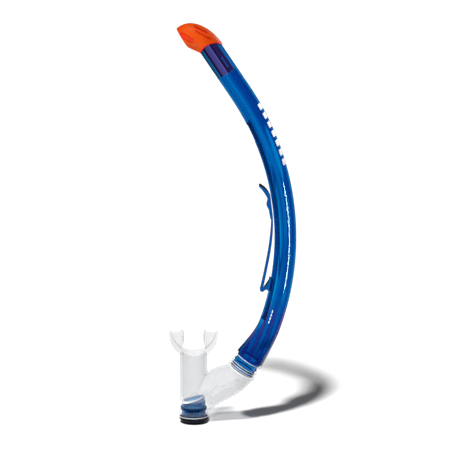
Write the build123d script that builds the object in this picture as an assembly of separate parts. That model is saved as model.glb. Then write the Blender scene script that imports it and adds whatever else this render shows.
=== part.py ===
"""Semi-dry snorkel with a purge valve, in millimetres.

X runs from the mouthpiece towards the bulge of the barrel, Z runs up, and Y is the depth.
The origin is the centre of the purge cover's flat bottom face.
The barrel bends in the plane Y = 0, which is also the plane of symmetry.
"""

from build123d import *
from math import atan2, cos, degrees, radians, sin
import os

# Barrel: one arc, a straight top, a flared foot and a round spigot
ARC_X, ARC_Z = -186.0, 199.0  # centre of the barrel's bend
ARC_RADIUS = 281.5  # of the centreline
ARC_LOW, ARC_HIGH = -19.0, 33.5  # degrees above the level of the arc's centre
BARREL_R = 11.6
BORE_R = 10.0
SHOULDER = (59.0, 69.8)  # X, Z of the centre of the flared foot's lower face
SHOULDER_LEAN = 33.0  # degrees from upright
SHOULDER_R = 15.2
SPIGOT_R = 12.6
SPIGOT_BORE_R = 11.2
SPIGOT_LENGTH = 16.5
BARB_HEIGHT = 0.7
BARBS = (2.6, 8.2, 13.0)  # from the shoulder
FLARE_POWER = 1.4

# Domed upper end of the barrel, as a circle seen from the side
DOME_R = 14.2
DOME_ALONG = 47.8  # from the end of the arc, along the straight top
DOME_ASIDE = -0.8  # towards the hollow of the bend

# T-slot channel in the hollow side of the barrel, for the strap clip
CHANNEL_LOW, CHANNEL_HIGH = -18.0, 26.6
CHANNEL_ENTRY = 22.6  # the slot is open to its full width above this angle
CHANNEL_TOP = 10.1  # depth of the slot's lips, from the barrel's axis
CHANNEL_FLOOR = 7.6
CHANNEL_HALF = 4.3
THROAT_HALF = 2.9
CHANNEL_WALL = 1.5

# Strap clip
CLIP_WIDTH = 11.0
CLIP_FOOT_LOW, CLIP_FOOT_HIGH = -12.0, -9.2
CLIP_GAP = 0.25
HINGE_ANGLE, HINGE_STANDOFF = -12.1, 7.2
HINGE_R = 1.7

# Splash hood
HOOD_PIVOT = (-19.0, 55.2)  # aside and along, in the frame of the straight top
HOOD_WALL = 1.6
HOOD_RECESS = 0.7
# angle of the section, near edge and far edge from the pivot, half depth
HOOD_SECTIONS = (
    (-15.5, 8.6, 32.6, 11.6),
    (20.5, 7.4, 32.2, 12.0),
    (60.5, 8.4, 37.2, 11.6),
    (88.5, 13.8, 37.2, 9.8),
)
MOUTH_SECTION = (88.5, 22.6, 37.2, 9.6)  # the hollow narrows to this above the lower lip

# Plug that joins the hood to the barrel
PLUG_R = 9.9  # to the corners of its eight sides
PLUG_BORE_R = 7.8
PLUG_RING = (42.8, 60.0)  # along the straight top
PLUG_LEG_END = 25.8
PLUG_LEG_HALF = 7.6

# Silicone mouthpiece
MOUTH_TUBE_R = 14.3
MOUTH_BORE_R = 11.7
MOUTH_TOP = 74.0
CUFF_R = 15.4
CUFF_TOP = 24.0
SILICONE_FOOT = 6.5
COLLAR_R = 15.6
COLLAR_LENGTH = 18.0
COLLAR_GAP = 0.15  # between the shoulder and the collar's end face
ARM_WALL = 2.4
SHIELD_Z = 98.0  # height of the centre of the curved lip shield
SHIELD_R = 25.5
SHIELD_WALL = 2.0
SHIELD_HALF = 14.0
LUG_IN, LUG_RIDGE, LUG_TOP = 10.2, 3.0, 99.0

# Purge valve
HOUSING_R = 12.4
HOUSING_WALL = 1.5
HOUSING_FOOT = 2.6
HOUSING_TOP = 26.4  # on the axis
HOUSING_SLANT = 15.0
BEAD_R, BEAD_LOW, BEAD_HIGH = 13.8, 14.4, 16.8
FLANGE_R, FLANGE_LOW = 14.7, 5.2
SEAT_LOW, SEAT_HIGH = 8.2, 9.6
HUB_R, HUB_HOLE_R = 3.4, 1.75
COVER_R, COVER_FLAT_R, COVER_EDGE = 14.9, 10.0, 3.6
COVER_WALL = 1.4
DISC_R, DISC_THICK = 9.4, 0.8
VALVE_LIFT = 1.2
FIT = 0.05  # radial clearance of a turning fit

LARGE = 200.0


def turned(profile_points):
    """Solid of revolution about Z from (radius, height) corners."""
    return revolve(Plane.XZ * make_face(Polyline(*profile_points, close=True)), Axis.Z)


def arc_point(angle, standoff=0.0):
    """Point on the barrel's arc, moved by standoff towards the centre of the bend."""
    reach = ARC_RADIUS - standoff
    return Vector(ARC_X + reach * cos(radians(angle)), 0, ARC_Z + reach * sin(radians(angle)))


def arc_plane(angle):
    """Section plane of the arc: its local X is the depth, its local Y points into the bend."""
    return Plane(arc_point(angle), x_dir=(0, 1, 0), z_dir=(-sin(radians(angle)), 0, cos(radians(angle))))


def swept(profile, low, high):
    """A profile in the section plane, carried round the bend from one angle to another."""
    return revolve(
        arc_plane(low) * profile,
        Axis((ARC_X, 0, ARC_Z), (0, -1, 0)),
        revolution_arc=high - low,
    )


def box_profile(half_width, near, far):
    """Rectangle in a section plane, from near to far towards the centre of the bend."""
    return Pos(0, (near + far) / 2) * Rectangle(2 * half_width, far - near)


# The straight top's own frame: local X is aside, away from the bend's centre, local Y is along
TOP = Plane(
    arc_point(ARC_HIGH),
    x_dir=(cos(radians(ARC_HIGH)), 0, sin(radians(ARC_HIGH))),
    z_dir=(0, -1, 0),
)
# The spigot's frame: local Z points from the shoulder down into the mouthpiece
SPIGOT_DOWN = Vector(-sin(radians(SHOULDER_LEAN)), 0, -cos(radians(SHOULDER_LEAN)))
SPIGOT = Plane((SHOULDER[0], 0, SHOULDER[1]), x_dir=(0, 1, 0), z_dir=SPIGOT_DOWN)


def top_point(aside, along):
    return TOP.from_local_coords(Vector(aside, along, 0))


def dome_keep(growth=0.0):
    """What lies below the barrel's domed end, as a thick plate across the whole depth."""
    below = Pos(0, DOME_ALONG - LARGE) * Rectangle(2 * LARGE, 2 * LARGE)
    dome = Pos(DOME_ASIDE, DOME_ALONG) * Circle(DOME_R + growth)
    return extrude(TOP * (below + dome), amount=LARGE / 2, both=True)


def flare(start_r, end_r):
    """The barrel's foot, from the end of the arc to the shoulder."""
    low_angle = radians(ARC_LOW)
    path = Spline(
        arc_point(ARC_LOW),
        Vector(SHOULDER[0], 0, SHOULDER[1]),
        tangents=[Vector(sin(low_angle), 0, -cos(low_angle)), SPIGOT_DOWN],
    )
    sections = []
    for step in range(6):
        share = step / 5
        place = Plane(path @ share, x_dir=(0, 1, 0), z_dir=path % share)
        sections.append(place * Circle(start_r + (end_r - start_r) * share**FLARE_POWER))
    return loft(sections)


def tube(radius, foot_r):
    """The whole run of the barrel, as a solid rod of the given radius and foot radius."""
    straight = extrude(arc_plane(ARC_HIGH) * Circle(radius), amount=DOME_ALONG + DOME_R + 2)
    return swept(Circle(radius), ARC_LOW, ARC_HIGH) + straight + flare(radius, foot_r)


def spigot(radius, growth=0.0):
    """Spigot with its rounded barbs. A growth makes the room for it in the mouthpiece."""
    body = Cylinder(radius, SPIGOT_LENGTH, align=(Align.CENTER, Align.CENTER, Align.MIN))
    for along in BARBS:
        ramp = [
            (radius - 1, along - 0.6),
            (radius + BARB_HEIGHT + growth, along - 0.6),
            (radius + BARB_HEIGHT + growth, along + 0.4),
            (radius, along + 2.0),
            (radius - 1, along + 2.0),
        ]
        body += turned(ramp)
    return SPIGOT.location * body


def make_barrel():
    bore = tube(BORE_R, SPIGOT_BORE_R)
    floor = CHANNEL_FLOOR - CHANNEL_WALL
    housing = box_profile(CHANNEL_HALF + CHANNEL_WALL, floor, BARREL_R)
    bore -= swept(housing, CHANNEL_LOW - 0.5, CHANNEL_HIGH + 0.5)
    outer = tube(BARREL_R, SHOULDER_R) + spigot(SPIGOT_R)
    barrel = (outer & dome_keep()) - bore
    barrel -= SPIGOT.location * Cylinder(SPIGOT_BORE_R, 2 * SPIGOT_LENGTH + 2)
    throat = box_profile(THROAT_HALF, CHANNEL_FLOOR, BARREL_R + 1)
    chamber = box_profile(CHANNEL_HALF, CHANNEL_FLOOR, CHANNEL_TOP)
    entry = box_profile(CHANNEL_HALF, CHANNEL_FLOOR, BARREL_R + 1)
    barrel -= swept(throat, CHANNEL_LOW, CHANNEL_HIGH)
    barrel -= swept(chamber, CHANNEL_LOW, CHANNEL_HIGH)
    barrel -= swept(entry, CHANNEL_ENTRY, CHANNEL_HIGH)
    return barrel


def hood_section(angle, near, far, half_depth, inset=0.0):
    """Elliptical section of the hood, on a plane turned about the pivot."""
    turn = radians(angle)
    middle = (near + far) / 2
    centre = top_point(HOOD_PIVOT[0] + middle * cos(turn), HOOD_PIVOT[1] + middle * sin(turn))
    ray = TOP.x_dir * cos(turn) + TOP.y_dir * sin(turn)
    place = Plane(centre, x_dir=ray, z_dir=TOP.z_dir.cross(ray))
    return place * Ellipse((far - near) / 2 - inset, half_depth - inset)


def hood_body(inset=0.0, last=HOOD_SECTIONS[-1]):
    stations = (*HOOD_SECTIONS[:-1], last)
    return loft([hood_section(*station, inset=inset) for station in stations])


def hood_slot(start, end, width):
    """Slot across the whole depth of the hood, from start to end in X and Z."""
    first, last = Vector(start[0], 0, start[1]), Vector(end[0], 0, end[1])
    run = last - first
    place = Plane((first + last) / 2, x_dir=run.normalized(), z_dir=(0, -1, 0))
    return extrude(place * SlotCenterToCenter(run.length, width), amount=LARGE / 8, both=True)


def make_hood():
    mouth = hood_section(*MOUTH_SECTION, inset=HOOD_WALL)
    hollow = hood_body(HOOD_WALL, MOUTH_SECTION)
    hood = hood_body() - hollow - extrude(mouth, amount=3.0, both=True) - dome_keep(FIT)
    recesses = hood_slot((-11.0, 416.4), (-1.8, 411.2), 5.6)
    recesses += hood_slot((1.4, 425.0), (14.0, 418.6), 1.5)
    recesses += hood_slot((2.6, 420.8), (18.0, 412.4), 1.5)
    hood -= recesses - hood_body(HOOD_RECESS)
    return max(hood.solids(), key=lambda solid: solid.volume)


def make_plug():
    """Joining sleeve with two long snap legs, one on each side of the bend's plane."""
    def along_top(profile, start, end):
        place = Plane(top_point(0, start), x_dir=(0, 1, 0), z_dir=TOP.y_dir)
        return extrude(place * profile, amount=end - start)

    ring = RegularPolygon(PLUG_R, 8) - Circle(PLUG_BORE_R)
    plug = along_top(ring, *PLUG_RING)
    legs = along_top(ring, PLUG_LEG_END, PLUG_RING[0])
    strip = extrude(
        TOP * (Pos(-0.6, (PLUG_LEG_END + PLUG_RING[0]) / 2)
               * Rectangle(2 * PLUG_LEG_HALF, PLUG_RING[0] - PLUG_LEG_END)),
        amount=LARGE / 8, both=True,
    )
    window = extrude(TOP * (Pos(3.6, 35.3) * SlotOverall(9.0, 2.2, rotation=90)), amount=LARGE / 8, both=True)
    return plug + (legs & strip) - window


def make_baffle():
    """Plate inside the hood that stops spray from falling straight down the barrel."""
    angle, near, far, half_depth = 56.5, 9.0, 37.1, 11.6
    place_turn = radians(angle)
    ray = TOP.x_dir * cos(place_turn) + TOP.y_dir * sin(place_turn)
    plate = extrude(hood_section(angle, near, far, half_depth, inset=HOOD_WALL + 0.9), amount=0.6, both=True)
    cut_at = 24.0
    corner = TOP.from_local_coords(
        Vector(HOOD_PIVOT[0] + cut_at * cos(place_turn), HOOD_PIVOT[1] + cut_at * sin(place_turn), 0)
    )
    half_space = Plane(corner, x_dir=(0, 1, 0), z_dir=ray)
    return plate & extrude(half_space * Rectangle(LARGE / 4, LARGE / 4), amount=LARGE / 8)


def beside(angle, gap):
    """Point beside the barrel's hollow side, at an angle and a distance from its surface."""
    return arc_point(angle, BARREL_R + gap)


def make_clip_carriage():
    """T-shaped foot in the channel, with the short leg that carries the arm."""
    neck = box_profile(THROAT_HALF - CLIP_GAP, CHANNEL_TOP - CLIP_GAP - 0.1, BARREL_R + CLIP_GAP + 0.4)
    head = box_profile(CHANNEL_HALF - CLIP_GAP, CHANNEL_FLOOR + CLIP_GAP, CHANNEL_TOP - CLIP_GAP)
    pad = box_profile(CLIP_WIDTH / 2 - 0.8, BARREL_R + CLIP_GAP, BARREL_R + CLIP_GAP + 1.3)
    carriage = swept(neck, CLIP_FOOT_LOW, CLIP_FOOT_HIGH)
    carriage += swept(head, CLIP_FOOT_LOW, CLIP_FOOT_HIGH)
    carriage += swept(pad, CLIP_FOOT_LOW, CLIP_FOOT_HIGH)
    hinge = beside(HINGE_ANGLE, HINGE_STANDOFF)
    leg = make_face(
        Polyline(
            beside(-9.5, 0.8), beside(-10.6, 2.9), hinge + Vector(1.4, 0, -0.2),
            hinge + Vector(0.3, 0, -2.5), beside(-11.9, 3.2), beside(-11.6, 0.8), close=True,
        )
    )
    carriage += extrude(leg, amount=CLIP_WIDTH / 2, both=True, dir=(0, 1, 0))
    seat = Plane(hinge, x_dir=(1, 0, 0), z_dir=(0, -1, 0)) * Circle(HINGE_R + FIT)
    return carriage - extrude(seat, amount=CLIP_WIDTH, both=True)


def make_clip_arm():
    """Springy arm, from the round root at the bend to the flared thumb lip."""
    hinge = beside(HINGE_ANGLE, HINGE_STANDOFF)
    inner = Spline(
        beside(-12.2, 5.9), beside(-6.0, 4.7), beside(0.5, 1.7), beside(4.6, 0.4),
    )
    contact = Line(inner @ 1, beside(9.4, 0.3))
    lip_in = Spline(contact @ 1, beside(11.3, 3.6), beside(12.6, 8.9))
    tip = Line(lip_in @ 1, beside(12.4, 9.9))
    lip_out = Spline(tip @ 1, beside(10.9, 6.2), beside(9.0, 3.2))
    knuckle = Polyline(lip_out @ 1, beside(7.8, 5.6), beside(6.7, 3.9), beside(4.9, 3.3), beside(4.2, 2.4))
    outer = Spline(knuckle @ 1, beside(0.5, 4.2), beside(-6.0, 7.3), beside(-12.2, 8.6))
    close = Line(outer @ 1, inner @ 0)
    profile = make_face([inner, contact, lip_in, tip, lip_out, knuckle, outer, close])
    arm = extrude(profile, amount=CLIP_WIDTH / 2, both=True, dir=(0, 1, 0))
    root = Plane(hinge, x_dir=(1, 0, 0), z_dir=(0, -1, 0)) * Circle(HINGE_R)
    return arm + extrude(root, amount=CLIP_WIDTH / 2, both=True)


def side_arm(inset=0.0):
    """The mouthpiece's side arm, an oval duct that turns round at the collar."""
    collar_foot = SPIGOT.origin + SPIGOT_DOWN * COLLAR_LENGTH
    path = Spline(
        Vector(0, 0, 27), Vector(32, 0, 43), collar_foot,
        tangents=[Vector(cos(radians(24)), 0, sin(radians(24))), -SPIGOT_DOWN],
    )
    stations = ((0.0, 19.0, 13.2), (0.3, 18.6, 13.8), (0.6, 17.9, 14.3), (0.82, 16.3, 14.9), (1.0, 15.2, 15.2))
    sections = []
    for share, half_height, half_depth in stations:
        place = Plane(path @ share, x_dir=(0, 1, 0), z_dir=path % share)
        sections.append(place * Ellipse(half_depth - inset, half_height - inset))
    return loft(sections)


def collar(radius):
    length = COLLAR_LENGTH + 1.5
    rod = Cylinder(radius, length, align=(Align.CENTER, Align.CENTER, Align.MIN))
    return SPIGOT.location * Pos(0, 0, COLLAR_GAP) * rod


def lip_shield():
    """Curved shield behind the lips, with its rounded upper corners."""
    place = Plane((0, 0, SHIELD_Z), x_dir=(1, 0, 0), z_dir=(0, -1, 0))
    ring = Circle(SHIELD_R) - Circle(SHIELD_R - SHIELD_WALL)
    lower = Pos(0, -SHIELD_R / 2) * Rectangle(2 * SHIELD_R, SHIELD_R)
    shell = extrude(place * (ring & lower), amount=SHIELD_HALF, both=True)
    outline = Pos(0, SHIELD_Z - SHIELD_R) * RectangleRounded(2 * SHIELD_HALF, 2 * SHIELD_R - 1.0, 9.0)
    return shell & extrude(Plane.YZ * outline, amount=LARGE / 4, both=True)


def bite_lug(side):
    """Bite tab: a web off the shield with a ridge that stays behind the teeth."""
    web = Pos(side * 18.0, 0, 88.5) * Box(14.0, 4.4, 17.6)
    web &= Pos(0, 0, SHIELD_Z) * Rot(90, 0, 0) * Cylinder(SHIELD_R - 1.0, 10.0)
    ridge_height = LUG_TOP - 85.0
    ridge = Pos(side * (LUG_IN + LUG_RIDGE / 2), 0, LUG_TOP - ridge_height / 2) * Box(LUG_RIDGE, 14.0, ridge_height)
    ridge = fillet(ridge.edges().filter_by(Axis.X), 3.0)
    return web + ridge


def make_mouthpiece():
    tube_height = MOUTH_TOP - SILICONE_FOOT
    upright = Pos(0, 0, SILICONE_FOOT + tube_height / 2) * Cylinder(MOUTH_TUBE_R, tube_height)
    cuff_height = CUFF_TOP - SILICONE_FOOT
    cuff = Pos(0, 0, SILICONE_FOOT + cuff_height / 2) * Cylinder(CUFF_R, cuff_height)
    body = upright + cuff + side_arm() + collar(COLLAR_R) + lip_shield() + bite_lug(-1) + bite_lug(1)
    bore = Pos(0, 0, SILICONE_FOOT + LARGE / 4) * Cylinder(MOUTH_BORE_R, LARGE / 2)
    valve_seat = Pos(0, 0, CUFF_TOP / 2) * Cylinder(HOUSING_R, CUFF_TOP)
    bead_seat = Pos(0, 0, (BEAD_LOW + BEAD_HIGH) / 2) * Cylinder(BEAD_R, BEAD_HIGH - BEAD_LOW)
    duct = side_arm(ARM_WALL) + collar(SPIGOT_BORE_R + 0.6) + spigot(SPIGOT_R + FIT, FIT)
    bore_clip = Pos(0, 0, LARGE / 2 + CUFF_TOP - 4.0) * Box(LARGE, LARGE, LARGE)
    duct &= bore_clip
    body -= bore
    body -= valve_seat + bead_seat
    body -= duct
    below = Pos(0, 0, SILICONE_FOOT - LARGE / 2) * Box(LARGE, LARGE, LARGE)
    return body - below


def make_purge_housing():
    outer = turned(
        [
            (0, HOUSING_FOOT), (HOUSING_R, HOUSING_FOOT), (HOUSING_R, FLANGE_LOW), (FLANGE_R, FLANGE_LOW),
            (FLANGE_R, SILICONE_FOOT), (HOUSING_R, SILICONE_FOOT), (HOUSING_R, BEAD_LOW), (BEAD_R, BEAD_LOW),
            (BEAD_R, BEAD_HIGH), (HOUSING_R, BEAD_HIGH), (HOUSING_R, CUFF_TOP - 2.0), (MOUTH_BORE_R - 0.1, CUFF_TOP),
            (MOUTH_BORE_R - 0.3, CUFF_TOP + 10), (0, CUFF_TOP + 10),
        ]
    )
    inner_r = HOUSING_R - HOUSING_WALL
    hollow = Pos(0, 0, SEAT_LOW) * Cylinder(inner_r - 0.6, LARGE, align=(Align.CENTER, Align.CENTER, Align.MIN))
    hollow += Cylinder(inner_r, 2 * SEAT_LOW)
    housing = outer - hollow
    slant = Plane((0, 0, HOUSING_TOP), x_dir=(0, 1, 0), z_dir=Vector(-sin(radians(HOUSING_SLANT)), 0, cos(radians(HOUSING_SLANT))))
    housing -= extrude(slant * Rectangle(LARGE, LARGE), amount=LARGE)
    seat_height = SEAT_HIGH - SEAT_LOW
    ring = Cylinder(inner_r, seat_height) - Cylinder(DISC_R - 1.8, seat_height)
    seat = ring + Cylinder(HUB_R, seat_height)
    for turn in range(4):
        seat += Rot(0, 0, 45 + 90 * turn) * Pos(DISC_R / 2, 0, 0) * Box(DISC_R, 1.6, seat_height)
    seat -= Cylinder(HUB_HOLE_R, seat_height)
    return housing + Pos(0, 0, (SEAT_LOW + SEAT_HIGH) / 2) * seat


def make_purge_diaphragm():
    """Mushroom valve: a thin disc, a stem through the hub and a bulb that keeps it there."""
    top = SEAT_LOW - 0.1
    under = top - DISC_THICK
    bulb = SEAT_HIGH + VALVE_LIFT + 0.2
    return turned(
        [
            (0, under), (DISC_R - 0.6, under), (DISC_R, under + 0.4), (DISC_R, top), (1.5, top),
            (1.5, bulb), (2.3, bulb), (2.3, bulb + 0.8), (1.2, bulb + 2.4), (0, bulb + 2.4),
        ]
    )


def make_purge_cover():
    inside = COVER_FLAT_R - 0.6
    cup = turned(
        [
            (0, 0), (COVER_FLAT_R, 0), (COVER_R - 0.9, COVER_EDGE - 0.4), (COVER_R, COVER_EDGE + 0.6),
            (COVER_R, FLANGE_LOW), (HOUSING_R + 0.02, FLANGE_LOW), (HOUSING_R + 0.02, HOUSING_FOOT),
            (inside + 0.6, HOUSING_FOOT - 0.3), (inside, COVER_WALL), (0, COVER_WALL),
        ]
    )
    slot = Pos(6.2, 0, 0) * SlotOverall(5.2, 2.0)
    for turn in range(8):
        cup -= extrude(Rot(0, 0, 45 * turn) * slot, amount=COVER_WALL + 1, both=True)
    return cup


MAKERS = {
    "barrel": make_barrel,
    "splash_hood": make_hood,
    "hood_plug": make_plug,
    "splash_baffle": make_baffle,
    "clip_carriage": make_clip_carriage,
    "clip_arm": make_clip_arm,
    "silicone_mouthpiece": make_mouthpiece,
    "purge_housing": make_purge_housing,
    "purge_diaphragm": make_purge_diaphragm,
    "purge_cover": make_purge_cover,
}

os.makedirs("parts", exist_ok=True)
for node, maker in MAKERS.items():
    export_step(maker(), f"parts/{node}.step")
hinge = beside(HINGE_ANGLE, HINGE_STANDOFF)
print("clip hinge at", round(hinge.X, 3), round(hinge.Z, 3), "mm")
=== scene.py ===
"""Looks for a semi-dry snorkel: clear blue barrel, orange splash hood, clear silicone mouthpiece."""

import math

import bpy
import numpy as np
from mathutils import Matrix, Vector


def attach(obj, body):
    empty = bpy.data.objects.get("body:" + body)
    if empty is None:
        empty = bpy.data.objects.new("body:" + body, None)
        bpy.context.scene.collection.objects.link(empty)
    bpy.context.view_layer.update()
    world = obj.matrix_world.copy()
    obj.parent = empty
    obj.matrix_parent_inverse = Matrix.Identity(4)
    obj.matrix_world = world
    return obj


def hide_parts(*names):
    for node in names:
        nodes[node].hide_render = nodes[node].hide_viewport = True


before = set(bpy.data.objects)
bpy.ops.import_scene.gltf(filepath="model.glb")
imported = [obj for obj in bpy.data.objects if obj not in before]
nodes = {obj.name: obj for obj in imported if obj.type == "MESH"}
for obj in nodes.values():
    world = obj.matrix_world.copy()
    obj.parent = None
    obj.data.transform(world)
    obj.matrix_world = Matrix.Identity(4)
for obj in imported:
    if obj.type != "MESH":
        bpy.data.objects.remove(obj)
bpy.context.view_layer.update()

# ---------------------------------------------------------------- shapes that the CAD has, in metres
# The barrel's bend: its centre in X and Z, its radius, and the barrel's own radius
ARC_X, ARC_Z, ARC_R = -0.186, 0.199, 0.2815
BARREL_R = 0.0116

# Places along the barrel, in degrees of its bend
BARREL_FOOT = -19.0
ARC_HIGH = 33.5  # where the bend ends and the straight top begins
PLUG_END = 38.75  # where the plug's legs end inside the barrel
BARREL_TOP = 60.0  # past the end of the barrel

# The spigot at the barrel's foot, inside the mouthpiece's collar: its top and the way that it points
SPIGOT_TOP = (0.059, 0.0, 0.0698)
SPIGOT_DOWN = (-math.sin(math.radians(33.0)), 0.0, -math.cos(math.radians(33.0)))

# The slanted top of the purge housing: its height on the axis and its rise along X
CUT_HEIGHT, CUT_SLOPE = 0.02563, 0.31

# The hood in X and Z: its dome, the recess beside its mouth and its two grooves
DOME_X, DOME_Z = 0.0217, 0.3938
DOME_RIM, DOME_RIM_SOFT = 0.0152, 0.0158
HOOD_RECESS = ((-0.0110, 0.4164), (-0.0018, 0.4112))
HOOD_GROOVES = (((0.0014, 0.4250), (0.0140, 0.4186)), ((0.0026, 0.4208), (0.0180, 0.4124)))

# ---------------------------------------------------------------- colours
BARREL_SURFACE = (0.006, 0.45, 0.72)
BLUE_TINT = (0.25, 0.25, 0.62)
BLUE_GLOSS = (0.6, 0.85, 1.0, 1)
ORANGE_GLOSS = (1.0, 0.45, 0.2, 1)
# Deeper red for the painted shade in the hood's recess and grooves, and for its rim
HOOD_SHADE_AND_RIM_RED = (0.5, 0.018, 0.004, 1)
FLUTE_VIOLET = (0.4, 0.19, 0.5, 1)
SLOT_BLUE = (0.008, 0.09, 0.38, 1)
PURGE_SURFACE = (0.015, 0.5, 0.74, 1)
# The slanted top's painted shade line and painted highlight
CUT_SHADE = (0.002, 0.1, 0.36, 1)
CUT_HIGHLIGHT = (0.95, 0.95, 0.96, 1)
SILICONE_GREY = (0.42, 0.43, 0.45, 1)

# How much of its clearness a clear piece loses where something solid is painted on it
SOLID_SHARE = 0.85

# Colour bands down the spigot from the barrel's shoulder, seen through the collar: blue tint, pale bands that
# are painted highlights and dark bands that are painted shade; start, end and colour
SPIGOT_HIGHLIGHT_AND_SHADE_BANDS = (
    (0.0000, 0.0020, (0.12, 0.1, 0.42, 1)),
    (0.0028, 0.0035, (0.12, 0.68, 0.92, 1)),
    (0.0039, 0.0044, (0.004, 0.34, 0.64, 1)),
    (0.0047, 0.0097, (0.01, 0.58, 0.82, 1)),
    (0.0101, 0.0106, (0.2, 0.68, 0.9, 1)),
    (0.0110, 0.0124, (0.002, 0.1, 0.4, 1)),
    (0.0128, 0.0148, (0.01, 0.56, 0.82, 1)),
    (0.0152, 0.0175, (0.002, 0.06, 0.16, 1)),
)

# Facets of the plug seen through the barrel, painted on it: a brightened blue strip at the left edge, a lit
# left facet, a shaded right facet, and painted highlight and shade lines; across from and to, and colour
PLUG_LIT_AND_SHADED_FACETS = (
    (-1.4, 1.4, (0.003, 0.13, 0.42, 1)),
    (-1.4, -0.6, (0.004, 0.3, 0.75, 1)),
    (-0.6, -0.46, (0.035, 0.04, 0.18, 1)),
    (-0.49, -0.37, (0.001, 0.001, 0.005, 1)),
    (-0.38, 0.14, (0.066, 0.063, 0.27, 1)),
    (-0.38, -0.32, (0.09, 0.05, 0.22, 1)),
    (0.1, 0.18, (0.11, 0.1, 0.38, 1)),
    (0.24, 0.76, (0.017, 0.012, 0.075, 1)),
    (0.17, 0.27, (0.003, 0.002, 0.012, 1)),
)
# The slot in the plug's painted shaded facet, a bar with two ends: across from and to, along from and to
PLUG_SLOT = ((0.44, 0.48, 40.0, 42.2), (0.39, 0.53, 42.1, 42.2), (0.39, 0.53, 40.0, 40.1))

# The purge housing's bead, neck and foot: height from and to, and colour
PURGE_BANDS = (
    (0.0138, 0.0172, (0.002, 0.12, 0.26, 1)),
    (0.0092, 0.0130, (0.25, 0.55, 0.74, 1)),
    (0.0062, 0.0085, (0.002, 0.1, 0.24, 1)),
)


# ---------------------------------------------------------------- shader nodes
def calc(tree, operation, *values):
    """Output of a math node whose inputs are numbers or other outputs."""
    node = tree.nodes.new("ShaderNodeMath")
    node.operation = operation
    for socket, value in zip(node.inputs, values):
        if isinstance(value, (int, float)):
            socket.default_value = value
        else:
            tree.links.new(value, socket)
    return node.outputs[0]


def pair_sum(tree, first, first_factor, second, second_factor):
    """Each value times its factor, added up."""
    return calc(tree, "ADD", calc(tree, "MULTIPLY", first, first_factor),
                calc(tree, "MULTIPLY", second, second_factor))


def distance(tree, east, up):
    """Length of the way that goes so far along X and so far up."""
    return calc(tree, "SQRT", pair_sum(tree, east, east, up, up))


def choose(tree, mask, inside, outside):
    """The inside value where the mask is 1, and the outside value where it is 0."""
    return pair_sum(tree, inside, mask, outside, calc(tree, "SUBTRACT", 1.0, mask))


def rise(tree, value, start, end):
    """0 on the start side, 1 on the end side, smooth between; the ends are numbers or outputs."""
    node = tree.nodes.new("ShaderNodeMapRange")
    node.interpolation_type = "SMOOTHSTEP"
    tree.links.new(value, node.inputs["Value"])
    for name, limit in (("From Min", start), ("From Max", end)):
        if isinstance(limit, (int, float)):
            node.inputs[name].default_value = limit
        else:
            tree.links.new(limit, node.inputs[name])
    return node.outputs["Result"]


def window(tree, value, low, high, soft):
    """1 between low and high, falling to 0 over a soft distance outside them."""
    return calc(tree, "MULTIPLY", rise(tree, value, low - soft, low), rise(tree, value, high + soft, high))


def mix_colour(tree, colour, mask, shade):
    """The colour, turned to the shade where the mask is 1."""
    node = tree.nodes.new("ShaderNodeMix")
    node.data_type = "RGBA"
    mask_socket, colour_socket, shade_socket = node.inputs[0], node.inputs[6], node.inputs[7]
    tree.links.new(mask, mask_socket)
    if isinstance(colour, tuple):
        colour_socket.default_value = colour
    else:
        tree.links.new(colour, colour_socket)
    shade_socket.default_value = shade
    return node.outputs[2]


def object_xyz(tree):
    coords = tree.nodes.new("ShaderNodeTexCoord")
    split = tree.nodes.new("ShaderNodeSeparateXYZ")
    tree.links.new(coords.outputs["Object"], split.inputs["Vector"])
    return split.outputs


def offset_from(tree, centre_x, centre_z):
    """Distances along X and Z from a place."""
    x, _, z = object_xyz(tree)
    return calc(tree, "SUBTRACT", x, centre_x), calc(tree, "SUBTRACT", z, centre_z)


def barrel_coordinates(tree):
    """Place on the barrel: -1 to 1 from the inside to the outside of the bend, and degrees along it.

    Above the bend the barrel runs straight, and a length there counts as it would on the bend.
    """
    east, up = offset_from(tree, ARC_X, ARC_Z)
    radius = distance(tree, east, up)
    degrees = calc(tree, "DEGREES", calc(tree, "ARCTAN2", up, east))
    sine, cosine = math.sin(math.radians(ARC_HIGH)), math.cos(math.radians(ARC_HIGH))
    outward = pair_sum(tree, east, cosine, up, sine)
    beyond = pair_sum(tree, up, cosine, east, -sine)
    straight = calc(tree, "GREATER_THAN", beyond, 0.0)
    reach = choose(tree, straight, outward, radius)
    across = calc(tree, "DIVIDE", calc(tree, "SUBTRACT", reach, ARC_R), BARREL_R)
    past_top = calc(tree, "ADD", calc(tree, "MULTIPLY", beyond, math.degrees(1 / ARC_R)), ARC_HIGH)
    return across, choose(tree, straight, past_top, degrees)


def spigot_depth(tree):
    """Distance down the spigot from the barrel's shoulder."""
    east, up = offset_from(tree, SPIGOT_TOP[0], SPIGOT_TOP[2])
    return pair_sum(tree, east, SPIGOT_DOWN[0], up, SPIGOT_DOWN[2])


def oval(tree, across, along, centre, half, inner=0.0, soft=0.25):
    """1 inside an oval on the barrel, or in its rim where inner is above 0."""
    east = calc(tree, "DIVIDE", calc(tree, "SUBTRACT", across, centre[0]), half[0])
    up = calc(tree, "DIVIDE", calc(tree, "SUBTRACT", along, centre[1]), half[1])
    reach = distance(tree, east, up)
    filled = rise(tree, reach, 1.0 + soft, 1.0)
    if not inner:
        return filled
    return calc(tree, "MULTIPLY", filled, rise(tree, reach, inner - soft, inner))


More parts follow.
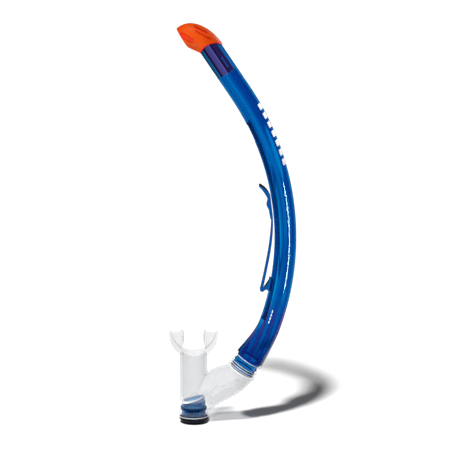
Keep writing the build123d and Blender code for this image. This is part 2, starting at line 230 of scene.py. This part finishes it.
def capsule_mask(tree, start, end, radius, soft):
    """1 within a radius of the line from start to end, given in X and Z."""
    run = (end[0] - start[0], end[1] - start[1])
    length2 = run[0] ** 2 + run[1] ** 2
    east, up = offset_from(tree, *start)
    share = pair_sum(tree, east, run[0] / length2, up, run[1] / length2)
    share = calc(tree, "MINIMUM", calc(tree, "MAXIMUM", share, 0.0), 1.0)
    off_x = calc(tree, "SUBTRACT", east, calc(tree, "MULTIPLY", share, run[0]))
    off_z = calc(tree, "SUBTRACT", up, calc(tree, "MULTIPLY", share, run[1]))
    return rise(tree, distance(tree, off_x, off_z), radius + soft, radius)


def fine_noise(tree, shader, scale, strength):
    """Output of a fine noise that also dents the surface a little."""
    noise = tree.nodes.new("ShaderNodeTexNoise")
    noise.inputs["Scale"].default_value = scale
    noise.inputs["Detail"].default_value = 3.0
    coords = tree.nodes.new("ShaderNodeTexCoord")
    tree.links.new(coords.outputs["Object"], noise.inputs["Vector"])
    bump = tree.nodes.new("ShaderNodeBump")
    bump.inputs["Strength"].default_value = strength
    bump.inputs["Distance"].default_value = 0.0002
    tree.links.new(noise.outputs["Fac"], bump.inputs["Height"])
    tree.links.new(bump.outputs["Normal"], shader.inputs["Normal"])
    return noise.outputs["Fac"]


def ramp_between(tree, source, low, high):
    ramp = tree.nodes.new("ShaderNodeValToRGB")
    start, end = ramp.color_ramp.elements
    start.position, end.position = 0.35, 0.65
    start.color, end.color = low, high
    tree.links.new(source, ramp.inputs["Fac"])
    return ramp.outputs["Color"]


def uneven_roughness(tree, shader, noise, least, most):
    grey_low, grey_high = (least,) * 3 + (1,), (most,) * 3 + (1,)
    tree.links.new(ramp_between(tree, noise, grey_low, grey_high), shader.inputs["Roughness"])


def lose_clearness(tree, shader, mask):
    """Make a clear material nearly solid where the mask is 1."""
    clear = calc(tree, "MULTIPLY_ADD", mask, -SOLID_SHARE, 1.0)
    tree.links.new(clear, shader.inputs["Transmission Weight"])


# ---------------------------------------------------------------- materials
def tree_and_shader(material):
    return material.node_tree, material.node_tree.nodes["Principled BSDF"]


def new_material(name):
    material = bpy.data.materials.new(name)
    material.use_nodes = True
    return material, *tree_and_shader(material)


def clear_plastic(name, surface, density, roughness, ior=1.5):
    """Clear blue moulded plastic, coloured by its surface and by what its walls absorb."""
    material, tree, shader = new_material(name)
    shader.inputs["Base Color"].default_value = (*surface, 1)
    shader.inputs["Transmission Weight"].default_value = 1.0
    shader.inputs["IOR"].default_value = ior
    shader.inputs["Specular Tint"].default_value = BLUE_GLOSS
    noise = fine_noise(tree, shader, 60.0, 0.05)
    uneven_roughness(tree, shader, noise, roughness * 0.7, roughness * 1.4)
    absorb = tree.nodes.new("ShaderNodeVolumeAbsorption")
    absorb.inputs["Color"].default_value = (*BLUE_TINT, 1)
    absorb.inputs["Density"].default_value = density
    tree.links.new(absorb.outputs["Volume"], tree.nodes["Material Output"].inputs["Volume"])
    return material


def soft_silicone(name, colour, cover, roughness, specular=0.5):
    """Milky clear silicone: it veils what is behind it, and doesn't bend it."""
    material, tree, shader = new_material(name)
    shader.inputs["Specular IOR Level"].default_value = specular
    shader.inputs["IOR"].default_value = 1.41
    shader.inputs["Alpha"].default_value = cover
    noise = fine_noise(tree, shader, 220.0, 0.06)
    shade = tuple(0.96 * channel for channel in colour[:3]) + (1,)
    tree.links.new(ramp_between(tree, noise, shade, colour), shader.inputs["Base Color"])
    uneven_roughness(tree, shader, noise, roughness * 0.8, roughness * 1.3)
    return material


def solid_plastic(name, colour, shade, roughness, coat=0.1, subsurface=0.0, gloss=(1, 1, 1, 1), specular=0.5):
    """Opaque moulded plastic with slightly uneven colour and gloss."""
    material, tree, shader = new_material(name)
    shader.inputs["Coat Weight"].default_value = coat
    shader.inputs["Coat Roughness"].default_value = 0.08
    shader.inputs["Specular IOR Level"].default_value = specular
    shader.inputs["Specular Tint"].default_value = gloss
    shader.inputs["Subsurface Weight"].default_value = subsurface
    shader.inputs["Subsurface Radius"].default_value = (0.004, 0.001, 0.0005)
    shader.inputs["Subsurface Scale"].default_value = 0.5
    noise = fine_noise(tree, shader, 90.0, 0.12)
    tree.links.new(ramp_between(tree, noise, shade, colour), shader.inputs["Base Color"])
    uneven_roughness(tree, shader, noise, roughness * 0.8, roughness * 1.3)
    return material


def paint_barrel(material):
    """Painted bands, ovals and lines along the barrel, darker and lighter, that stand in for what it reflects
    and bends; the spigot's painted highlight and shade rings; and the plug that shows through, with painted
    lit and shaded facets.
    """
    tree, shader = tree_and_shader(material)
    across, along = barrel_coordinates(tree)
    below_plug = PLUG_END - 0.3

    def band(low, high, start, end, soft=0.03, fade=2.0):
        sides = window(tree, across, low, high, soft)
        return calc(tree, "MULTIPLY", sides, window(tree, along, start, end, fade))

    # A painted dark reflection on the outer half, narrower above the middle of the bend
    low_side = calc(tree, "MULTIPLY_ADD", rise(tree, along, 28.0, 4.0), 0.56, 0.06)
    dark_reflection_sides = calc(tree, "MULTIPLY", rise(tree, across, calc(tree, "SUBTRACT", low_side, 0.06), low_side),
                      rise(tree, across, 0.9, 0.84))
    dark_reflection_ends = calc(tree, "MULTIPLY", rise(tree, along, -6.0, 1.0),
                     rise(tree, along, below_plug + 0.3, below_plug))
    dark_reflection = calc(tree, "MULTIPLY", dark_reflection_sides, dark_reflection_ends)
    # Darker and lighter bands, ovals and thin lines, painted as the barrel's reflections and refractions and
    # as light and shade on it
    bands = [
        (band(0.56, 0.8, BARREL_FOOT, 0.0, 0.05), (0.006, 0.36, 0.64, 1)),
        (dark_reflection, (0.006, 0.28, 0.6, 1)),
        (band(-0.86, -0.42, BARREL_FOOT, 13.0, 0.06), (0.03, 0.7, 0.88, 1)),
        (band(-0.86, -0.6, 13.0, 25.0, 0.06), (0.02, 0.6, 0.82, 1)),
        (band(-0.1, 0.22, BARREL_FOOT, -3.0, fade=5.0), (0.006, 0.36, 0.66, 1)),
        (band(-0.48, 0.0, 19.5, below_plug), (0.006, 0.49, 0.76, 1)),
        (oval(tree, across, along, (0.42, 18.5), (0.15, 5.6)), (0.008, 0.6, 0.84, 1)),
        (oval(tree, across, along, (0.5, -12.5), (0.06, 1.8)), (0.008, 0.7, 0.9, 1)),
        (oval(tree, across, along, (-0.34, 3.5), (0.2, 11.5), inner=0.86, soft=0.14), (0.02, 0.24, 0.5, 1)),
        (band(-0.57, -0.52, 19.0, below_plug, 0.04, 0.6), (0.01, 0.28, 0.56, 1)),
        (band(0.2, 0.25, -12.0, 12.0, 0.05, 4.0), (0.01, 0.24, 0.52, 1)),
        (band(0.64, 0.68, 26.0, below_plug, 0.03, 1.0), (0.03, 0.2, 0.5, 1)),
    ]
    wave = calc(tree, "SINE", calc(tree, "MULTIPLY", across, 9.0))
    flutes = calc(tree, "MULTIPLY", rise(tree, wave, 0.1, 0.9), rise(tree, along, -12.5, -18.5))
    bands.append((flutes, FLUTE_VIOLET))
    down = spigot_depth(tree)
    # Painted highlight and shade rings down the spigot
    for low, high, shade in SPIGOT_HIGHLIGHT_AND_SHADE_BANDS:
        bands.append((window(tree, down, low, high, 0.0002), shade))
    # The plug painted on the barrel, with its lit and shaded facets
    for low, high, shade in PLUG_LIT_AND_SHADED_FACETS:
        bands.append((band(low, high, PLUG_END, BARREL_TOP, 0.02, 0.08), shade))
    for place in PLUG_SLOT:
        bands.append((band(*place, 0.02, 0.08), SLOT_BLUE))
    colour = (*BARREL_SURFACE, 1)
    for mask, shade in bands:
        colour = mix_colour(tree, colour, mask, shade)
    tree.links.new(colour, shader.inputs["Base Color"])
    lose_clearness(tree, shader, rise(tree, along, PLUG_END - 0.1, PLUG_END))


def paint_hood(material):
    """Deeper red in the recess and the two grooves as painted shade, and deeper red along the rim by the
    dome.
    """
    tree, shader = tree_and_shader(material)
    base = shader.inputs["Base Color"].links[0].from_socket
    # Painted shade in the recess and the grooves
    mask = capsule_mask(tree, *HOOD_RECESS, 0.0026, 0.0003)
    for groove in HOOD_GROOVES:
        mask = calc(tree, "MAXIMUM", mask, capsule_mask(tree, *groove, 0.0007, 0.0004))
    from_dome = distance(tree, *offset_from(tree, DOME_X, DOME_Z))
    mask = calc(tree, "MAXIMUM", mask, rise(tree, from_dome, DOME_RIM_SOFT, DOME_RIM))
    tree.links.new(mix_colour(tree, base, mask, HOOD_SHADE_AND_RIM_RED), shader.inputs["Base Color"])


def paint_purge(material):
    """Dark bead and foot and a paler neck on the purge housing; on its slanted top, a painted shade line and
    a painted highlight along the cut edge.
    """
    tree, shader = tree_and_shader(material)
    x, _, z = object_xyz(tree)
    below_cut = calc(tree, "SUBTRACT", calc(tree, "MULTIPLY_ADD", x, CUT_SLOPE, CUT_HEIGHT), z)
    colour = PURGE_SURFACE
    for low, high, shade in PURGE_BANDS:
        colour = mix_colour(tree, colour, window(tree, z, low, high, 0.0003), shade)
    # Painted shade just below the cut edge, and a painted highlight along the edge
    colour = mix_colour(tree, colour, window(tree, below_cut, 0.0013, 0.0023, 0.0003), CUT_SHADE)
    edge = rise(tree, below_cut, 0.0012, 0.0009)
    tree.links.new(mix_colour(tree, colour, edge, CUT_HIGHLIGHT), shader.inputs["Base Color"])
    lose_clearness(tree, shader, edge)


barrel_blue = clear_plastic("barrel_blue", BARREL_SURFACE, 300.0, 0.03, ior=1.42)
paint_barrel(barrel_blue)
clip_blue = clear_plastic("clip_blue", (0.02, 0.42, 0.75), 200.0, 0.05)
purge_blue = clear_plastic("purge_blue", (0.01, 0.36, 0.6), 220.0, 0.05, ior=1.35)
paint_purge(purge_blue)
SILICONES = {
    "outside": soft_silicone("clear_silicone", SILICONE_GREY, 0.27, 0.3),
    "bore": soft_silicone("bore_silicone", SILICONE_GREY, 0.12, 0.3),
    "shield": soft_silicone("shield_silicone", (0.3, 0.31, 0.33, 1), 0.2, 0.6, 0.05),
    "relief": soft_silicone("relief_silicone", (0.66, 0.67, 0.68, 1), 0.45, 0.3),
    "polished": soft_silicone("polished_silicone", (0.1, 0.2, 0.35, 1), 0.01, 0.06, 0.2),
    "veil": soft_silicone("veil_silicone", (0.3, 0.42, 0.55, 1), 0.12, 0.2, 0.2),
    # A dark ring painted as the seal's shade line inside the collar
    "seal_shade": soft_silicone("painted_seal_shade_silicone", (0.001, 0.015, 0.05, 1), 0.7, 0.2, 0.2),
    # Pale rings painted as highlights on the collar and the cuff
    "edge": soft_silicone("edge_silicone", (0.7, 0.71, 0.73, 1), 0.75, 0.15, 0.25),
}
valve_silicone = soft_silicone("valve_silicone", (0.5, 0.52, 0.55, 1), 0.5, 0.3)
hood_orange = solid_plastic("hood_orange", (0.51, 0.05, 0.001, 1), (0.46, 0.041, 0.001, 1), 0.5, coat=0.0,
                            subsurface=0.05, gloss=ORANGE_GLOSS, specular=0.25)
paint_hood(hood_orange)
plug_violet = solid_plastic("plug_violet", (0.3, 0.2, 0.75, 1), (0.26, 0.17, 0.66, 1), 0.3)
baffle_orange = solid_plastic("baffle_orange", (0.6, 0.05, 0.001, 1), (0.5, 0.04, 0.001, 1), 0.3)
cover_black = solid_plastic("cover_black", (0.006, 0.007, 0.014, 1), (0.003, 0.003, 0.008, 1), 0.55, coat=0.0,
                            specular=0.08)
print_white = solid_plastic("print_white", (0.93, 0.93, 0.93, 1), (0.86, 0.87, 0.88, 1), 0.45)

LOOKS = {
    "barrel": barrel_blue,
    "splash_hood": hood_orange,
    "hood_plug": plug_violet,
    "splash_baffle": baffle_orange,
    "clip_carriage": clip_blue,
    "clip_arm": clip_blue,
    "silicone_mouthpiece": SILICONES["outside"],
    "purge_housing": purge_blue,
    "purge_diaphragm": valve_silicone,
    "purge_cover": cover_black,
}
for node, material in LOOKS.items():
    for slot in nodes[node].material_slots:
        slot.material = material


def add_object(name, data):
    item = bpy.data.objects.new(name, data)
    bpy.context.scene.collection.objects.link(item)
    return item


# ---------------------------------------------------------------- soft mouthpiece, in metres
VOXEL = 0.00045
SOFTENING_ROUNDS = 8

# The side arm: its axis and its underside, where the finger grip lies, in X and Z
ARM_LINE = np.array([[0, 27], [12, 32.5], [22, 37], [32, 43], [42, 48.8], [49.2, 54.7]]) / 1000
GRIP_EDGE = np.array([[19.5, 17.0], [26, 21.2], [33, 24.5], [40, 28], [47, 31.8], [53, 37], [58, 43]]) / 1000
GRIP_FROM, GRIP_TO, GRIP_PAST = 0.0, 0.043, 0.002  # along the underside, and how far it fades past its end
GRIP_DEPTH, GRIP_FADE = 0.0145, 0.003
GRIP_MIN_X = 0.0155

# The grip's leaf shape is sunk with a raised line round it, and ribs run up from the underside
LEAF_SINK, LEAF_SLOPE = 0.0004, 0.0014
LEAF_LINE, LEAF_LINE_WIDTH = 0.0005, 0.0007
PALE_LINE_HALF, PALE_LINE_FROM, PALE_LINE_MIN_X = 0.0005, 0.002, 0.017
RIB_HEIGHT, RIB_PITCH, RIB_SLANT = 0.0011, 0.0048, 0.02
RIB_REACH, RIB_FADE = 0.0085, 0.004

# The collar on the spigot: distances down from the barrel's shoulder, and radii
COLLAR_END = 0.0172
COLLAR_FROM, COLLAR_TO = -0.002, 0.025  # where the bead may be raised
# Pale rings painted as highlights round the collar's outside
COLLAR_HIGHLIGHT_RINGS, HIGHLIGHT_RING_HALF = (0.0026, 0.0104, 0.0129, 0.0150, 0.0176), 0.00036
COLLAR_BEAD, BEAD_STEP, BEAD_WIDTH = 0.0178, 0.0005, 0.0008
# A dark ring painted as the seal's shade line
SEAL_SHADE_DOWN, SEAL_SHADE_HALF = 0.0163, 0.0009
ARM_FREE = 0.019  # from here on down there is only the arm
COLLAR_WALL_R = 0.0142  # between the lining and the outside
LINING_FROM, LINING_TO, LINING_MIN_R = -0.003, 0.0168, 0.009
SPIGOT_CLEAR_R = 0.01345  # just outside the barbs

# The cuff round the purge housing: heights and radii
CUFF_LOW, CUFF_TOP = 0.00655, 0.0242
# A pale ring painted as a highlight round the cuff
CUFF_HIGHLIGHT_RING, CUFF_HIGHLIGHT_RING_HALF = 0.0076, 0.0004
CUFF_WALL_R, CUFF_R = 0.0143, 0.0165
BEAD_LOW, BEAD_HIGH, BEAD_MARGIN = 0.0138, 0.0174, 0.0004  # the housing's bead
NECK_LOW = 0.0086
HOUSING_R, HOUSING_BEAD_R = 0.01252, 0.01395  # just outside the housing
HOUSING_TOP, CUFF_LINING_R = 0.0215, 0.0141  # the lining that is kept clear of it

SHIELD_LOW = 0.0738  # where the tube ends and the lip shield begins
ARM_X = 0.03  # only the arm and its collar are further along X


def polyline_frame(points, line):
    """Nearest place on a polyline in X and Z: its arc length, its point and the distance to it."""
    flat = points[:, [0, 2]]
    steps = np.diff(line, axis=0)
    lengths = np.linalg.norm(steps, axis=1)
    starts = np.concatenate([[0], np.cumsum(lengths)[:-1]])
    best = np.full(len(flat), np.inf)
    along = np.zeros(len(flat))
    foot = np.zeros_like(flat)
    for start, step, length, offset in zip(line[:-1], steps, lengths, starts):
        share = np.clip(((flat - start) @ step) / length**2, 0, 1)
        place = start + share[:, None] * step
        gap = np.linalg.norm(flat - place, axis=1)
        nearer = gap < best
        best[nearer] = gap[nearer]
        along[nearer] = (offset + share * length)[nearer]
        foot[nearer] = place[nearer]
    return along, foot, best


def from_arm_axis(points):
    """The way from the nearest place on the side arm's axis to each point."""
    _, foot, _ = polyline_frame(points, ARM_LINE)
    return points - np.stack([foot[:, 0], np.zeros(len(foot)), foot[:, 1]], axis=1)


def spigot_frame(points):
    """Distance down the spigot's axis, the way out from the axis, and the distance out from it."""
    drop = points - SPIGOT_TOP
    down = drop @ SPIGOT_DOWN
    off_axis = drop - np.outer(down, SPIGOT_DOWN)
    return down, off_axis, np.linalg.norm(off_axis, axis=1)


def bell(x, width):
    return np.exp(-((x / width) ** 2))


def smooth_step(x):
    x = np.clip(x, 0, 1)
    return x * x * (3 - 2 * x)


def grip_reach(along):
    """How far the leaf shape reaches up from the underside of the arm."""
    share = np.clip((along - GRIP_FROM) / (GRIP_TO - GRIP_FROM), 0.001, 0.999)
    return GRIP_DEPTH * np.sin(math.pi * share**0.85) ** 0.55


def grip_relief(points):
    """Height of the leaf-shaped finger grip and its ribs, on the outside of the side arm."""
    along, _, depth = polyline_frame(points, GRIP_EDGE)
    reach = grip_reach(along)
    inside = smooth_step((reach - depth) / LEAF_SLOPE + 0.5)
    from_start, to_end = along - GRIP_FROM, GRIP_TO + GRIP_PAST - along
    ends = smooth_step(from_start / GRIP_FADE) * smooth_step(to_end / GRIP_FADE)
    height = -LEAF_SINK * inside * ends
    height += LEAF_LINE * bell(depth - reach, LEAF_LINE_WIDTH) * ends
    phase = (along / RIB_PITCH + depth / RIB_SLANT) % 1.0
    rib = 1 - np.abs(2 * phase - 1) ** 1.5
    fade = smooth_step((RIB_REACH - depth) / RIB_FADE)
    height += RIB_HEIGHT * (rib - 0.5) * fade * ends
    return height


def read_vectors(items, name):
    """A vector of each vertex or face, such as its place or its normal, in rows."""
    values = np.zeros(len(items) * 3)
    items.foreach_get(name, values)
    return values.reshape(-1, 3)


def silicone_zones(centres, normals):
    """Index in SILICONES of each face of the mouthpiece."""
    names = list(SILICONES)
    down, _, reach = spigot_frame(centres)
    radius, height = np.hypot(centres[:, 0], centres[:, 1]), centres[:, 2]
    arm_side = centres[:, 0] > ARM_X

    from_arm = from_arm_axis(centres)
    from_tube = centres * (1, 1, 0)
    nearer_arm = np.linalg.norm(from_arm, axis=1) < radius
    facing = np.where(nearer_arm, (from_arm * normals).sum(axis=1), (from_tube * normals).sum(axis=1))
    zones = np.where(facing > 0, names.index("outside"), names.index("bore"))

    along, _, depth = polyline_frame(centres, GRIP_EDGE)
    on_line = (abs(depth - grip_reach(along)) < PALE_LINE_HALF) & (along > PALE_LINE_FROM) & (along < GRIP_TO)
    on_line &= (facing > 0) & (centres[:, 0] > PALE_LINE_MIN_X) & (down > ARM_FREE)
    zones[on_line] = names.index("relief")
    zones[(height > SHIELD_LOW) & ~arm_side] = names.index("shield")
    zones[(down < COLLAR_END) & arm_side] = names.index("polished")
    cuff = (height < CUFF_TOP) & (radius < CUFF_R)
    zones[cuff] = names.index("polished")
    veiled = (height > NECK_LOW) & (height < BEAD_LOW - BEAD_MARGIN)
    veiled |= height > BEAD_HIGH + BEAD_MARGIN
    zones[cuff & veiled & (facing > 0)] = names.index("veil")
    # Painted shade line of the seal
    zones[(abs(down - SEAL_SHADE_DOWN) < SEAL_SHADE_HALF) & (reach < COLLAR_WALL_R) & arm_side] = names.index("seal_shade")
    # Painted highlight rings round the collar
    highlight_rings = np.min([abs(down - ring) for ring in COLLAR_HIGHLIGHT_RINGS], axis=0) < HIGHLIGHT_RING_HALF
    zones[highlight_rings & (reach > COLLAR_WALL_R) & arm_side] = names.index("edge")
    # Painted highlight ring round the cuff
    on_highlight_ring = abs(height - CUFF_HIGHLIGHT_RING) < CUFF_HIGHLIGHT_RING_HALF
    zones[on_highlight_ring & (radius > CUFF_WALL_R) & (radius < CUFF_R)] = names.index("edge")
    return zones.astype(np.int32)


def softened_copy(source, name):
    """A copy of a CAD node with rounded edges, as an object of its own."""
    piece = add_object(name, source.data.copy())
    remesh = piece.modifiers.new("voxels", "REMESH")
    remesh.mode = "VOXEL"
    remesh.voxel_size = VOXEL
    smooth = piece.modifiers.new("soften", "SMOOTH")
    smooth.factor = 0.5
    smooth.iterations = SOFTENING_ROUNDS
    depsgraph = bpy.context.evaluated_depsgraph_get()
    mesh = bpy.data.meshes.new_from_object(piece.evaluated_get(depsgraph))
    piece.modifiers.clear()
    piece.data = mesh
    return piece


def mould(points, normals):
    """The softened points with the grip and the bead raised, clear of the spigot and the purge housing."""
    outward = (from_arm_axis(points) * normals).sum(axis=1) > 0
    down, off_axis, reach = spigot_frame(points)
    on_arm = outward & (points[:, 0] > GRIP_MIN_X) & (down > ARM_FREE)
    lift = np.where(on_arm, grip_relief(points), 0)
    on_collar = (reach > COLLAR_WALL_R) & (down > COLLAR_FROM) & (down < COLLAR_TO)
    lift += np.where(on_collar, BEAD_STEP * bell(down - COLLAR_BEAD, BEAD_WIDTH), 0)
    points = points + lift[:, None] * normals

    lining = (reach < COLLAR_WALL_R) & (reach > LINING_MIN_R) & (down > LINING_FROM) & (down < LINING_TO)
    points[lining] += off_axis[lining] * (SPIGOT_CLEAR_R / reach[lining] - 1)[:, None]
    radius, height = np.hypot(points[:, 0], points[:, 1]), points[:, 2]
    wall = np.where((height > BEAD_LOW) & (height < BEAD_HIGH), HOUSING_BEAD_R, HOUSING_R)
    tight = (height < HOUSING_TOP) & (radius < CUFF_LINING_R)
    scale = np.where(tight, np.maximum(radius, wall) / np.maximum(radius, 1e-6), 1.0)
    points[:, :2] *= scale[:, None]
    points[:, 2] = np.maximum(height, CUFF_LOW)
    return points


def make_mouthpiece():
    """The one-piece silicone moulding, with softened edges, the finger grip and the collar's bead."""
    piece = softened_copy(nodes["silicone_mouthpiece"], "soft_mouthpiece")
    mesh = piece.data
    points = mould(read_vectors(mesh.vertices, "co"), read_vectors(mesh.vertices, "normal"))
    mesh.vertices.foreach_set("co", points.ravel())
    mesh.update()

    mesh.materials.clear()
    for material in SILICONES.values():
        mesh.materials.append(material)
    zones = silicone_zones(read_vectors(mesh.polygons, "center"), read_vectors(mesh.polygons, "normal"))
    mesh.polygons.foreach_set("material_index", zones)
    mesh.polygons.foreach_set("use_smooth", np.ones(len(mesh.polygons), bool))
    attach(piece, "mouthpiece")
    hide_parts("silicone_mouthpiece")
    return piece


mouthpiece = make_mouthpiece()


# ---------------------------------------------------------------- plain print on the barrel
INK_LOW, INK_HIGH = 0.00001, 0.00008  # above the barrel, in metres
DASH_ROWS, DASH_COLUMNS = 6, 8


def dash_rim():
    """Row and column of each corner round a dash's edge."""
    rim = [(row, 0) for row in range(DASH_ROWS)]
    rim += [(DASH_ROWS, column) for column in range(DASH_COLUMNS)]
    rim += [(row, DASH_COLUMNS) for row in range(DASH_ROWS, 0, -1)]
    rim += [(0, column) for column in range(DASH_COLUMNS, 0, -1)]
    return rim


def dash_faces(base):
    """Faces of one dash, whose corners are numbered from base: the lower layer, then the upper one."""
    layer = (DASH_ROWS + 1) * (DASH_COLUMNS + 1)

    def vert(level, row, column):
        return base + level * layer + row * (DASH_COLUMNS + 1) + column

    faces = []
    for row in range(DASH_ROWS):
        for column in range(DASH_COLUMNS):
            ring = [(row, column), (row + 1, column), (row + 1, column + 1), (row, column + 1)]
            faces.append([vert(1, *place) for place in ring])
            faces.append([vert(0, *place) for place in reversed(ring)])
    rim = dash_rim()
    for here, there in zip(rim, rim[1:] + rim[:1]):
        faces.append([vert(0, *here), vert(0, *there), vert(1, *there), vert(1, *here)])
    return faces


def make_dashes(name, first, last, count, share, from_side, to_side):
    """Raised white dashes along the barrel, from one angle of the bend to another.

    A dash fills its share of each step. The sides are degrees round the barrel from the outside of the bend
    towards the front.
    """
    verts, faces = [], []
    pitch = (last - first) / count
    for dash in range(count):
        faces += dash_faces(len(verts))
        for reach in (BARREL_R + INK_LOW, BARREL_R + INK_HIGH):
            for row in range(DASH_ROWS + 1):
                along = math.radians(first + pitch * (dash + share * row / DASH_ROWS))
                for column in range(DASH_COLUMNS + 1):
                    side = math.radians(from_side + (to_side - from_side) * column / DASH_COLUMNS)
                    radius = ARC_R + reach * math.cos(side)
                    verts.append((ARC_X + radius * math.cos(along), -reach * math.sin(side),
                                  ARC_Z + radius * math.sin(along)))
    mesh = bpy.data.meshes.new(name)
    mesh.from_pydata(verts, [], faces)
    mesh.materials.append(print_white)
    piece = add_object(name, mesh)
    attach(piece, "tube")
    return piece


prints = [
    make_dashes("print_dashes", first=29.6, last=15.0, count=7, share=0.62, from_side=12.0, to_side=40.0),
    make_dashes("small_print_dashes", first=-15.7, last=-18.9, count=4, share=0.72,
                from_side=101.0, to_side=105.0),
]


# ---------------------------------------------------------------- stage, light and camera
def make_floor(centre, radius, corners=96):
    """Round white sheet, just large enough for the shadow; the surround beyond it is as white."""
    mesh = bpy.data.meshes.new("floor")
    ring = [(radius * math.cos(turn), radius * math.sin(turn), 0)
            for turn in np.linspace(0, 2 * math.pi, corners, endpoint=False)]
    mesh.from_pydata(ring, [], [range(corners)])
    floor = add_object("floor", mesh)
    material, _, shader = new_material("floor_white")
    shader.inputs["Base Color"].default_value = (0.9, 0.9, 0.9, 1)
    shader.inputs["Roughness"].default_value = 0.9
    shader.inputs["Specular IOR Level"].default_value = 0.1
    mesh.materials.append(material)
    floor.location = centre


def area_light(name, place, target, size, power, lit):
    """Soft lamp that lights only the given objects, and isn't seen through the clear ones."""
    light = bpy.data.lights.new(name, "AREA")
    light.shape = "RECTANGLE"
    light.size, light.size_y = size
    light.energy = power
    lamp = add_object(name, light)
    lamp.location = place
    lamp.rotation_euler = (Vector(target) - Vector(place)).to_track_quat("-Z", "Y").to_euler()
    lamp.visible_camera = False
    lamp.visible_transmission = False
    group = bpy.data.collections.new(name + "_lit")
    for piece in lit:
        group.objects.link(piece)
    lamp.light_linking.receiver_collection = group


def sun_light(name, travel, strength, spread):
    light = bpy.data.lights.new(name, "SUN")
    light.energy = strength
    light.angle = math.radians(spread)
    lamp = add_object(name, light)
    lamp.rotation_euler = Vector(travel).to_track_quat("-Z", "Y").to_euler()


def make_world(fill, sheen, backdrop):
    """Soft studio surround: dim as a light and in reflections, white where it is seen or shows through."""
    world = bpy.data.worlds.new("studio")
    world.use_nodes = True
    tree = world.node_tree
    path = tree.nodes.new("ShaderNodeLightPath")
    strength = calc(tree, "MULTIPLY", path.outputs["Is Diffuse Ray"], fill)
    strength = calc(tree, "MULTIPLY_ADD", path.outputs["Is Glossy Ray"], sheen, strength)
    seen = calc(tree, "MAXIMUM", path.outputs["Is Transmission Ray"], path.outputs["Is Camera Ray"])
    strength = calc(tree, "MULTIPLY_ADD", seen, backdrop, strength)
    tree.nodes["Background"].inputs["Color"].default_value = (1, 1, 1, 1)
    tree.links.new(strength, tree.nodes["Background"].inputs["Strength"])
    bpy.context.scene.world = world


def make_camera(target, away, elevation, view_width):
    """Long lens in front of the object, at an elevation in degrees, with a view as wide as given there."""
    data = bpy.data.cameras.new("camera")
    data.sensor_width = 36.0
    data.lens = data.sensor_width * away / view_width
    data.clip_end = 60.0
    camera = add_object("camera", data)
    target, rise_angle = Vector(target), math.radians(elevation)
    camera.location = target + away * Vector((0, -math.cos(rise_angle), math.sin(rise_angle)))
    camera.rotation_euler = (target - camera.location).to_track_quat("-Z", "Y").to_euler()
    bpy.context.scene.camera = camera


hood = nodes["splash_hood"]
make_floor((0.035, 0.12, -0.0002), 0.16)
make_world(fill=0.12, sheen=0.04, backdrop=1.15)
sun_light("key", (0.18, 0.57, -1.0), strength=4.3, spread=6.0)
area_light("strip_right", (0.295, -0.223, 0.135), (0.1, -0.011, 0.19), (0.06, 0.2), 1.35, [nodes["barrel"]])
area_light("front_fill", (-0.35, -0.9, 0.22), (0.0, 0.0, 0.25), (0.5, 0.5), 6.0,
           [hood, nodes["purge_housing"], mouthpiece, *prints])
area_light("back_fill", (0.6, 0.5, 0.5), (0.0, 0.0, 0.35), (0.5, 0.5), 4.5, [hood, *prints])
area_light("low_fill", (-0.26, -0.24, 0.02), (0.0, 0.0, 0.41), (0.25, 0.25), 2.1, [hood])
make_camera((0.0328, 0.0, 0.2125), away=7.0, elevation=14.0, view_width=0.468)
bpy.context.scene.view_settings.view_transform = "Standard"
